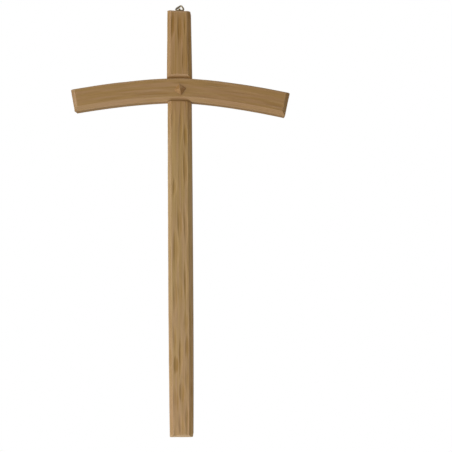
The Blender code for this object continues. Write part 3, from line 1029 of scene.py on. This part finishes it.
# Where the middle of the ring's wire bends, as (across, up from the base), with each bend's radius
RING_BASE = (0.0052, 0.0, 0.0012)
RING_SHOULDER = (0.0033, 0.0028, 0.0020)
RING_TIP = (0.0006, 0.0057, 0.0012)
RING_SKEW = 0.0012  # how far to the right of the base's middle the tip lies
RING_ARC = math.radians(5)
PATH_SHARE = 0.1  # of a stretch of the wire, between two places where its clearance is tested
EYE_RADIUS = WIRE / 2 + WIRE_PLAY
ROLL_RADIUS = EYE_RADIUS + STRAP_THICK
HINGE = Vector(frame["joints"][0]["pos_m"])
print("hinge at", tuple(round(v, 4) for v in HINGE))

# %% Cutters for the lap, the notch and the peg's hole
LAP = BOARD / 2
CUTTER_STEP = 0.0020


def turned_on_joint(angle):
    return Matrix.Translation((BAR_RIGHT, 0, 0)) @ Matrix.Rotation(angle, 4, "Y")


BAR_PLACE, PEG_PLACE = turned_on_joint(BAR_TURN), turned_on_joint(PEG_TURN)


def lap_section(x):
    """What the bar at x takes out of the post: (height over the bar's middle, depth) points."""
    high = bar_depth(x) / 2 + FIT
    low = -high
    length, fall = SHOULDER_BEVEL
    rise = PAST / fall * length
    return [
        (low, -BOARD - PAST),
        (low, -LAP + FIT / 2),
        (high, -LAP + FIT / 2),
        (high, -BOARD + fall),
        (high + length + rise, -BOARD - PAST),
    ]


def lap_cutter():
    """The bar's sections run along its bowed line."""
    rings = []
    for x in steps(-POST_ABOVE, POST_ABOVE, CUTTER_STEP):
        middle, up = bar_middle(x)
        rings.append([middle + up * height + Vector((0, depth, 0)) for height, depth in lap_section(x)])
    return loft("lap_cutter", rings, BAR_PLACE)


def post_cutter():
    rings = []
    for z in steps(-max(BAR_DEPTH), max(BAR_DEPTH), CUTTER_STEP):
        half = post_half_width(z) + FIT
        corners = ((-half, PAST), (-half, -LAP - FIT / 2), (half, -LAP - FIT / 2), (half, PAST))
        rings.append([(across, depth, z) for across, depth in corners])
    return loft("post_cutter", rings)


def socket_cutter():
    half = PEG_SIDE / 2 + FIT
    corners = ((-half, -half), (half, -half), (half, half), (-half, half))
    ends = (-(BOARD - PEG_INSIDE) + FIT, -BOARD - PAST)
    rings = [[(a, end, b) for a, b in corners] for end in ends]
    return loft("socket_cutter", rings, PEG_PLACE)


print(f"lap {LAP * MM:.1f} mm deep, peg turned by {math.degrees(PEG_TURN):.0f} degrees")

# %% The ring's wire and the strap's tongue


def ring_drift(up):
    """How far the leaning ring has moved to the right at a height over its base."""
    return RING_SKEW * up / RING_TIP[1]


def ring_path():
    """The middle of the wire as (x, z) points: a rounded, leaning triangle with bowed sides."""
    right = (RING_BASE, RING_SHOULDER)
    left = [(-x, z, radius) for x, z, radius in reversed(right)]
    bends = [*right, RING_TIP, *left]
    corners = [Vector(bend[:2]) for bend in bends]
    points = []
    for i, (corner, bend) in enumerate(zip(corners, bends)):
        before = (corners[i - 1] - corner).normalized()
        after = (corners[(i + 1) % len(corners)] - corner).normalized()
        half_angle = before.angle(after) / 2
        centre = corner + (before + after).normalized() * bend[2] / math.sin(half_angle)
        spoke = corner + before * bend[2] / math.tan(half_angle) - centre
        for turn in steps(0, math.pi - 2 * half_angle, RING_ARC):
            points.append(centre + Matrix.Rotation(turn, 2) @ spoke)
    return [(x + ring_drift(z), z) for x, z in points]


def tongue_half_width():
    """Half of the tongue that wraps the ring's base: its upper corners keep WIRE_PLAY to both sides' wire."""
    clear = EYE_RADIUS
    path = [Vector(point) for point in ring_path()]
    room = []
    for here, there in zip(path, path[1:] + path[:1]):
        for share in steps(0, 1, PATH_SHARE):
            across, up = here.lerp(there, share)
            off = up - ROLL_RADIUS
            if abs(off) < clear:
                room.append(abs(across) - math.sqrt(clear * clear - off * off))
    return min(room)


print(f"tongue {2 * tongue_half_width() * MM:.2f} mm wide")

# %% Cutters for the strap and its screw
PLATE_ARC = math.radians(6)
SCREW_SIDES = 48
SCREW_POINT = 0.0001  # radius of the screw's tip


def plate_outline(spare, top):
    """The strap seen from behind, as (x, z) points: a round-ended plate that narrows to a tongue.

    With spare it is the pocket's outline instead: wider all round, and as wide at the top.
    """
    half = PLATE_WIDTH / 2 + spare
    tongue = tongue_half_width() + spare
    round_middle = POST_ABOVE - PLATE_LENGTH + PLATE_WIDTH / 2
    edge = [(tongue, top), (tongue, POST_ABOVE + TONGUE_TAPER), (half, POST_ABOVE - TONGUE_TAPER)]
    if spare:
        edge = [(half, top)]
    round_end = []
    for angle in steps(0, math.pi, PLATE_ARC):
        round_end.append((half * math.cos(angle), round_middle - half * math.sin(angle)))
    return edge + round_end + [(-x, z) for x, z in reversed(edge)]


def turned(name, profile):
    """A profile of (radius, height) points, from the top down, turned about the screw's axis."""
    angles = [2 * math.pi * i / SCREW_SIDES for i in range(SCREW_SIDES)]
    rings = []
    for radius, height in profile:
        rings.append([(radius * math.cos(a), radius * math.sin(a), height) for a in angles])
    middle = Matrix.Translation((0, 0, POST_ABOVE - SCREW_BELOW))
    return loft(name, rings, middle @ Matrix.Rotation(-math.pi / 2, 4, "X"))


def below_head(spare):
    """The screw's profile under its crown: the cone of the head, the shank and the point."""
    shank = SCREW_SHANK[0] / 2 + spare
    neck = -STRAP_SUNK - SCREW_HEAD[1]
    point = neck - SCREW_SHANK[1] - spare
    return [(shank, neck), (shank, point + 2 * shank), (SCREW_POINT, point)]


def screw_cutter():
    head = SCREW_HEAD[0] / 2 + FIT
    return turned("screw_cutter", [(head, PAST), (head, -STRAP_SUNK), *below_head(FIT)])


print(f"{len(plate_outline(0, HINGE.z))} points round the plate")

# %% [markdown]
# ## Where stain, painted shade and painted sheen go
# Painted shade sits on the post close to the bar, most of all above it, and on the bar's right half, most of
# all on its lower bevel. The bar's end grain drinks more stain. The shaft gets a painted pale sheen and the
# foot's bevel a painted highlight, and the gouges' stain is calmer at the foot. This could be painted by
# hand.
# Written as simple ramps over each board's own coordinates, it stays in place when a size changes.

# %% Coordinates along the grain


def post_grain(places):
    """Along, across and through the post."""
    return np.stack((places[:, 2], places[:, 0], places[:, 1]), axis=1)


def bar_grain(places):
    """Along, across and through the bar, following its bow."""
    c, s = math.cos(BAR_TURN), math.sin(BAR_TURN)
    right, up = places[:, 0] - BAR_RIGHT, places[:, 2]
    x, z = c * right - s * up, s * right + c * up
    return np.stack((x, z - bow_height(x), places[:, 1]), axis=1)


bar_end = bar_grain(np.array([[BAR_HALF_SPAN, 0.0, 0.0]]))[0]
print("grain coordinates near the bar's right end:", [round(float(v), 4) for v in bar_end])

# %% Painted shade in the corners and on the bar, stain on the bar's ends
SHADE_ABOVE, SHADE_BELOW = 0.0050, 0.0022  # how far painted shade runs up and down the post from the joint
SHADE_UNDER = 0.5  # and how far under the bar's edge, as a share of that
END_STAIN = 0.60  # on the bar's end grain
# Painted shade on the bar's right half: places along it and how far it grows, heights and how strong it is
RIGHT_REACH = ((0.015, 0.045), (0.0, 1.0))
RIGHT_SHADE = ((-0.0086, -0.0072), (0.45, 0.17))


def post_painted_shade(places):
    """How much painted shade lies in the corner between the post's front and the bar, from 0 to 1."""
    x, z = bar_grain(places)[:, :2].T
    half = bar_depth(x) / 2
    above, below = (z - half) / SHADE_ABOVE, (-z - half) / SHADE_BELOW
    away = np.where(z > 0, above, below)
    front = places[:, 1] < -LAP
    return np.clip(1 - away, 0, 1) * (away > -SHADE_UNDER) * front


def bar_stain_and_shade(places):
    """The stain on the bar's end grain and the painted shade on its right half, from 0 to 1."""
    along, up = bar_grain(places)[:, :2].T
    past = np.abs(along) - (BAR_HALF_SPAN - BAR_END_BEVEL[0])
    ends = END_STAIN * np.clip(past / BAR_END_BEVEL[0], 0, 1)
    return np.maximum(ends, np.interp(along, *RIGHT_REACH) * np.interp(up, *RIGHT_SHADE))


# The reach of the painted shade by the joint
print(f"stain runs {SHADE_ABOVE * MM:.1f} mm up from the bar and {SHADE_BELOW * MM:.1f} mm down")

# %% Everything the wood material reads
CALM_FOOT = ((-0.372, -0.345), (0.3, 1.0))  # heights, and how much of the gouges' stain shows there
SHEEN_HEIGHTS = (-0.3836, -0.3790, -0.3500, -0.2200, -0.0600, -0.0150)
SHEEN_SHARES = (1.0, 0.35, 0.35, 0.90, 0.90, 0.0)  # how strong the painted sheen on the post is at those heights
FOOT_HIGHLIGHT_REACH = 0.0004  # the painted highlight on the foot's bevel reaches this far over its edge
SAME_PLACE = 0.0003  # a point further than this from the uncut surface is on a new cut
WOOD_WEAR, PEG_WEAR, METAL_WEAR = 0.05, 0.08, 0.25  # how far an edge has to stand out to be fully worn
WOOD_SHARP, PEG_SHARP, METAL_SHARP = math.radians(32), math.radians(40), math.radians(35)


def shade_smooth(mesh, sharp):
    """Smooth shading, but for edges that turn by more than the angle sharp."""
    mesh.shade_smooth()
    mesh.set_sharp_from_angle(angle=sharp)


def carry_over(piece, before, grain, nook, fade):
    """Stores the grain, carving, stain and painted shade, painted sheen, wear and highlight after a cut."""
    mesh = piece.data
    places = points_of(mesh)
    old = points_of(before)
    pressed = numbers_of(before, "pressed")
    tree = KDTree(len(old))
    for i, place in enumerate(old):
        tree.insert(place, i)
    tree.balance()
    nearest = np.array([tree.find(place)[1:] for place in places])
    values = pressed[nearest[:, 0].astype(int)] * (nearest[:, 1] < SAME_PLACE)
    heights = places[:, 2]
    foot = FOOT_BEVEL[0] - POST_BELOW
    # A painted highlight on the foot's bevel, stored with the edges' wear
    foot_highlight = np.interp(heights, (foot, foot + FOOT_HIGHLIGHT_REACH), (1, 0))
    store(mesh, "pressed", np.clip(values / STROKE_DEPTH[1], 0, 1) * np.interp(heights, *CALM_FOOT))
    store(mesh, "grain", grain(places.astype(float)))
    store(mesh, "worn", np.maximum(edge_wear(mesh, WOOD_WEAR), foot_highlight))
    store(mesh, "nook", nook(places.astype(float)))
    # A painted pale sheen, strongest on the middle of the shaft and at the foot
    store(mesh, "faded", fade * np.interp(heights, SHEEN_HEIGHTS, SHEEN_SHARES))
    shade_smooth(mesh, WOOD_SHARP)


wood_angle, metal_angle = math.degrees(WOOD_SHARP), math.degrees(METAL_SHARP)
print(f"edges stay sharp from {wood_angle:.0f} degrees on the boards and {metal_angle:.0f} on metal")

# %% Cutting the joint
bar.data.transform(BAR_PLACE)
pocket_depth = STRAP_SUNK + STRAP_THICK + FIT
pocket = prism("pocket_cutter", plate_outline(FIT, POST_ABOVE + PAST), -pocket_depth, PAST, "Y")
for piece, cutters, grain, nook, fade in (
    (post, (lap_cutter(), socket_cutter(), pocket, screw_cutter()), post_grain, post_painted_shade, 1.0),
    (bar, (post_cutter(), socket_cutter()), bar_grain, bar_stain_and_shade, 0.0),
):
    uncut = piece.data.copy()
    cut(piece, cutters)
    carry_over(piece, uncut, grain, nook, fade)
    print(f"{piece.name}: {len(piece.data.vertices)} points after the cuts")

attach(post, "cross")
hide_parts("upright_post")
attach(bar, "cross")
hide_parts("crossbar")

# %% [markdown]
# ## The peg
# A square peg stands on its corner in the middle of the joint, a little off true. A knife gave its end four
# slightly hollow facets that meet in a point. It is lofted from square rings, so each facet has enough faces
# for the hollow and for rounded edges.

# %% Peg
PEG_STRIPS = 14
PEG_END = 0.9  # width of its inner end, as a share of the rest
PEG_LEAD, PEG_STEP = 0.0005, 0.0010  # length of the taper to that end, and the rings' spacing
PEG_ROUND, PEG_ROUND_ROOM = 0.0003, 0.5  # roundness of its edges, and the most of a half side it takes
ROUND_MIDDLE = 0.3  # how far a round corner's middle lies in from the sharp one, in radii
FACET_HOLLOW, FACET_RINGS = 0.00012, 12
RIM_SHARE = 0.985  # the first ring of the facets is a little smaller, which rounds the rim
TIP_SHARE, TIP_SHORT = 0.02, 0.00002  # the last ring's width in peg widths, and how far short of the tip
PEG_SHADE, LEE_REACH = 0.75, 0.0022  # painted shade on the lower right facets, from this far off the tip
LEE_RIGHT, LEE_UP = 0.7, 0.4


def peg_ring(half, depth):
    """A square ring with slightly rounded corners."""
    ring = []
    soft = min(PEG_ROUND, half * PEG_ROUND_ROOM)
    for turn in range(4):
        way = Matrix.Rotation(math.pi / 2 * turn, 2)
        for i in range(PEG_STRIPS + 1):
            a = lerp(-half + soft, half - soft, i / PEG_STRIPS)
            side = way @ Vector((a, -half))
            ring.append((side.x, depth, side.y))
        corner = way @ Vector((half - soft * ROUND_MIDDLE, -half + soft * ROUND_MIDDLE))
        ring.append((corner.x, depth, corner.y))
    return ring


def make_peg():
    half = PEG_SIDE / 2
    inner, rim, tip = -(BOARD - PEG_INSIDE), -BOARD - PEG_PROUD, -BOARD - PEG_PROUD - PEG_HEIGHT
    rings = [peg_ring(half * PEG_END, inner), peg_ring(half, inner - PEG_LEAD)]
    rings += [peg_ring(half, depth) for depth in steps(inner - PEG_STEP, rim + PEG_ROUND / 2, PEG_STEP)]
    for i in range(FACET_RINGS):
        share = i / FACET_RINGS
        hollow = FACET_HOLLOW * math.sin(math.pi * share)
        edge = half * (1 - share) * (1 if i else RIM_SHARE)
        rings.append(peg_ring(edge, lerp(rim, tip, share) + hollow))
    rings.append(peg_ring(half * TIP_SHARE, tip + TIP_SHORT))
    return loft("peg", rings, PEG_PLACE)


peg = make_peg()
peg.data.materials.append(peg_wood)
peg_places = points_of(peg.data).astype(float)
store(peg.data, "grain", np.stack((peg_places[:, 1], peg_places[:, 0], peg_places[:, 2]), axis=1))
store(peg.data, "pressed", np.zeros(len(peg_places)))
# Painted shade on the lower right facets, which face away from the light
lee = LEE_RIGHT * (peg_places[:, 0] - BAR_RIGHT) - LEE_UP * peg_places[:, 2]
store(peg.data, "nook", PEG_SHADE * np.clip(lee / LEE_REACH, 0, 1))
store(peg.data, "faded", np.zeros(len(peg_places)))
store(peg.data, "worn", edge_wear(peg.data, PEG_WEAR, 1))
shade_smooth(peg.data, PEG_SHARP)
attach(peg, "cross")
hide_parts("centre_peg")
print(f"peg: {len(peg_places)} points")

# %% [markdown]
# ## Strap and screw
# The strap is a brass strip let flush into the back. Above the top its narrow end is rolled forward round the
# ring's base. The strip is a prism along its rolled line, kept only inside the outline of the plate. A Bevel
# modifier softens every edge. The screw is turned, with a slot cut across its head.

# %% Strap
ROLL_ARC = math.radians(7.5)
STRAP_SOFT, SCREW_SOFT = 0.00012, 0.00006  # width of the softened edges


def make_strap():
    middle = EYE_RADIUS + STRAP_THICK / 2
    bottom = POST_ABOVE - PLATE_LENGTH - PAST
    back, front = [(-STRAP_SUNK, bottom)], [(-STRAP_SUNK - STRAP_THICK, bottom)]
    for angle in steps(0, ROLL, ROLL_ARC):
        for side, radius in ((back, middle + STRAP_THICK / 2), (front, middle - STRAP_THICK / 2)):
            side.append((HINGE.y + radius * math.cos(angle), HINGE.z + radius * math.sin(angle)))
    half = PLATE_WIDTH / 2 + PAST
    strap = prism("strap", back + front[::-1], -half, half, "X")
    reach = ROLL_RADIUS + STRAP_THICK
    outline = prism("plate_shape", plate_outline(0, HINGE.z + reach), HINGE.y - reach, PAST, "Y")
    keep = strap.modifiers.new("Plate outline", "BOOLEAN")
    keep.operation = "INTERSECT"
    keep.object = outline
    plain_mesh(strap)
    bpy.data.objects.remove(outline)
    cut(strap, (screw_cutter(),))
    soften(strap, STRAP_SOFT)
    return strap


def soften(piece, width):
    bevel = piece.modifiers.new("Soft edges", "BEVEL")
    bevel.width = width
    bevel.segments = 2
    bevel.limit_method = "ANGLE"
    bevel.angle_limit = METAL_SHARP
    bevel.use_clamp_overlap = True
    plain_mesh(piece)


def finish_metal(piece, material, node):
    piece.data.materials.clear()
    piece.data.materials.append(material)
    store(piece.data, "worn", edge_wear(piece.data, METAL_WEAR, 0))
    shade_smooth(piece.data, METAL_SHARP)
    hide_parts(node)
    print(f"{piece.name}: {len(piece.data.vertices)} points")


strap = make_strap()
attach(strap, "cross")
finish_metal(strap, strap_brass, "hanger_strap")

# %% Screw
RIM_IN, RIM_DOWN = 0.0003, 0.0002  # the slope of the head's rim


def make_screw():
    head, crown = SCREW_HEAD[0] / 2, -STRAP_SUNK
    screw = turned("screw", [(head - RIM_IN, crown), (head, crown - RIM_DOWN), *below_head(0)])
    width, depth = SCREW_SLOT
    middle, reach = POST_ABOVE - SCREW_BELOW, SCREW_HEAD[0]
    outline = [(a * reach, middle + b * width / 2) for a, b in ((-1, -1), (1, -1), (1, 1), (-1, 1))]
    cut(screw, (prism("slot_cutter", outline, -STRAP_SUNK - depth, PAST, "Y"),))
    soften(screw, SCREW_SOFT)
    return screw


screw = make_screw()
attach(screw, "cross")
finish_metal(screw, screw_brass, "hanger_screw")

# %% [markdown]
# ## The ring
# A wire bent to a three-cornered ring turns in the strap's roll on its straight base. Its tip leans to the
# right, as the real one was bent. Its middle line is worked out from five bends, each a corner with a radius.
# A small Geometry Nodes tree makes the line a curve and runs the round wire along it. Bending a tube by hand
# as a mesh would be slower and less even.

# %% Ring
RING_LEAN = math.radians(8)
WIRE_SKIN = 0.00003  # the round wire keeps inside the solid's flat-sided one
WIRE_SIDES = 24


def wire_tree():
    start, given = start_tree("bend_wire", (
        ("Wire radius", "Float", WIRE / 2 - WIRE_SKIN),
        ("Wire sides", "Int", WIRE_SIDES),
        ("Material", "Material", None),
    ))
    outline = start.node("GeometryNodeMeshToCurve", sockets={"Mesh": given["Geometry"]})
    profile = start.node(
        "GeometryNodeCurvePrimitiveCircle",
        sockets={"Resolution": given["Wire sides"], "Radius": given["Wire radius"]},
    )
    tube = start.node("GeometryNodeCurveToMesh", sockets={"Curve": outline, "Profile Curve": profile})
    return end_tree(tube, given["Material"])


def make_ring():
    lean = Matrix.Translation(HINGE) @ Matrix.Rotation(-RING_LEAN, 4, "X")
    line = [lean @ Vector((x, 0, z)) for x, z in ring_path()]
    mesh = bpy.data.meshes.new("ring")
    mesh.from_pydata(line, [(i, (i + 1) % len(line)) for i in range(len(line))], [])
    ring = new_object("ring", mesh)
    run_tree(ring, wire_tree(), {"Material": ring_brass})
    bm = bmesh.new()
    bm.from_mesh(ring.data)
    ring.data = closed_mesh("ring", bm)
    return ring


ring = make_ring()
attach(ring, "ring")
finish_metal(ring, ring_brass, "hanger_ring")

# %% [markdown]
# ## Sizes side by side
# The sizes of the dressed cross and of its solids are printed side by side. The dressed cross has to
# fill the same box as its solids.

# %% Write the sizes and finish
VISUAL_BOX = [list(corner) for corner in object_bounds()]
for label, box in (("solids", CAD_BOX), ("dressed", VISUAL_BOX)):
    print(label, [round((high - low) * MM, 2) for low, high in zip(*box)], "mm")
